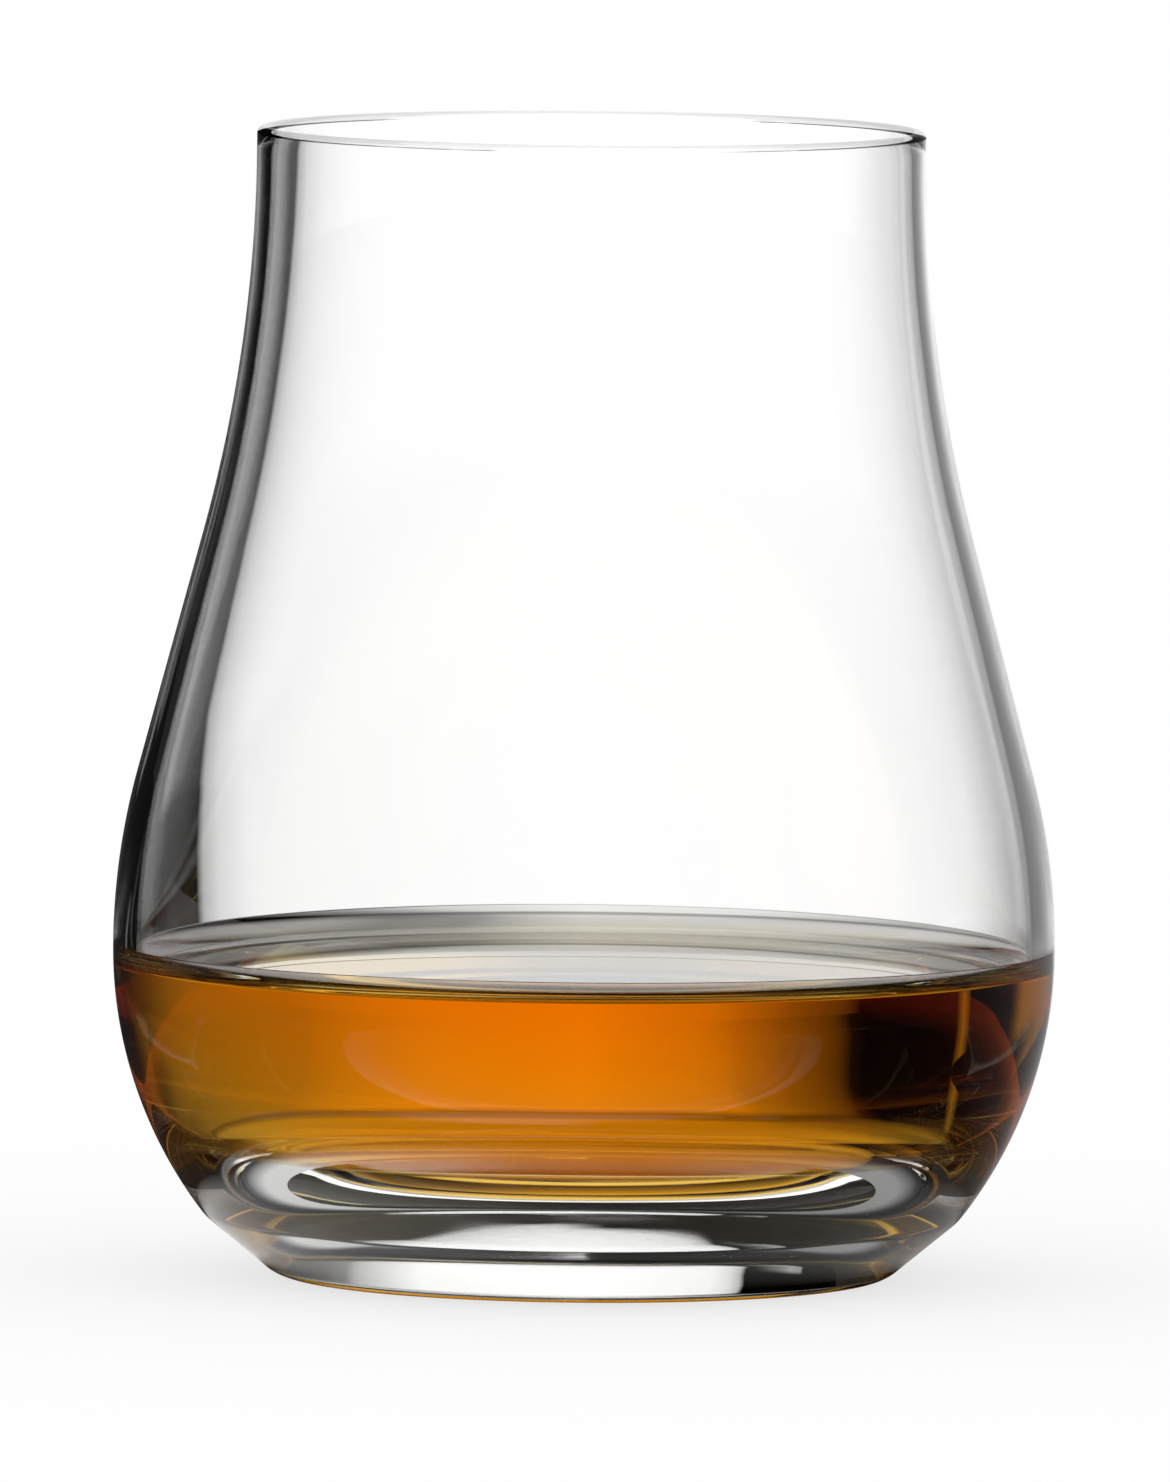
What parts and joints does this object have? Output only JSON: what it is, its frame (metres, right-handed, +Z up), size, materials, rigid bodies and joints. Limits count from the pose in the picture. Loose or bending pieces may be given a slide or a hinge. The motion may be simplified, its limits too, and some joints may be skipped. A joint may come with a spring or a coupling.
{
  "type": "whisky_tumbler",
  "caption": "Bulbous whisky tumbler in clear glass with a round belly, a narrower mouth and a thick lens-like base, holding amber whisky",
  "frame": {"origin": "On the table, under the middle of the foot", "axes": "Z up along the glass's axis; X to the viewer's right and Y away from the viewer, as in the picture"},
  "size_m": [0.086, 0.086, 0.105],
  "materials": {
    "clear_glass": "fire-polished clear crystal",
    "whisky": "clear amber spirit"
  },
  "bodies": {
    "tumbler": {"tumbler": "clear_glass"},
    "whisky": {"whisky": "whisky"}
  },
  "joints": [
    {"name": "swirl", "type": "hinge", "parent": "tumbler", "child": "whisky", "pos_m": [0, 0, 0.02], "axis": [0, 0, 1], "continuous": true}
  ]
}
